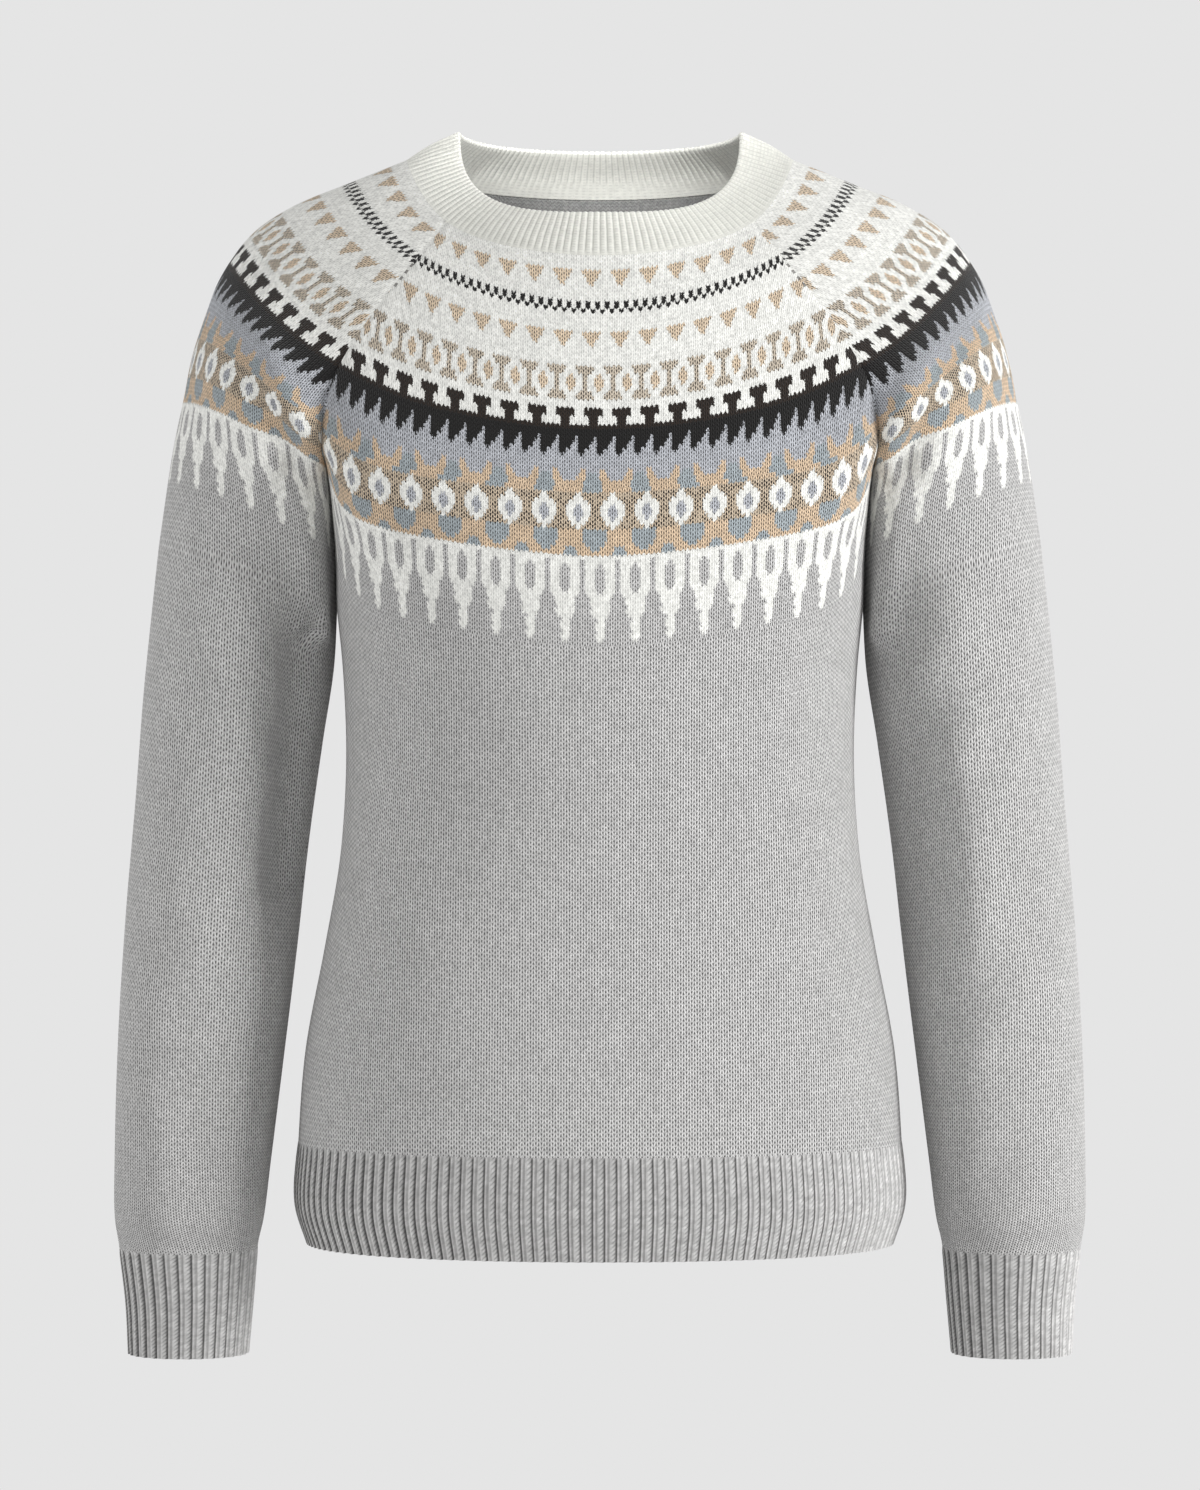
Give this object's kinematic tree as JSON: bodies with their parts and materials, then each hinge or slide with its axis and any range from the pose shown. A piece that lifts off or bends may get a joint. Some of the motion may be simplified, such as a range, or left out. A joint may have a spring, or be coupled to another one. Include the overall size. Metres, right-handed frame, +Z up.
{
  "type": "knitted yoke sweater, filled out as worn",
  "caption": "Round-neck knitted sweater with raglan sleeves, a patterned yoke in bands, and ribbed neck, hem and cuffs, hollow and filled out as worn.",
  "frame": {"origin": "middle of the neck opening, at the height where the neck rib meets the shoulders, where the wearer's shoulders hold the sweater", "axes": "+X to the right when the front is looked at, -Y out of the front, +Z up"},
  "size_m": [0.5404, 0.2419, 0.6794],
  "materials": {
    "front_knit": "plain knit in heather grey, patterned yoke, soft matt yarn",
    "back_knit": "plain knit in heather grey, patterned yoke, soft matt yarn",
    "sleeve_knit": "plain knit in heather grey, patterned at the shoulder, soft matt yarn",
    "collar_rib": "cream rib knit, soft matt yarn",
    "hem_rib": "heather grey rib knit, soft matt yarn",
    "cuff_rib": "heather grey rib knit, soft matt yarn"
  },
  "bodies": {
    "root": {"front_panel": "front_knit", "back_panel": "back_knit", "sleeve_left": "sleeve_knit", "sleeve_right": "sleeve_knit", "collar_rib": "collar_rib", "hem_rib_front": "hem_rib", "hem_rib_back": "hem_rib", "cuff_left": "cuff_rib", "cuff_right": "cuff_rib"}
  },
  "joints": []
}
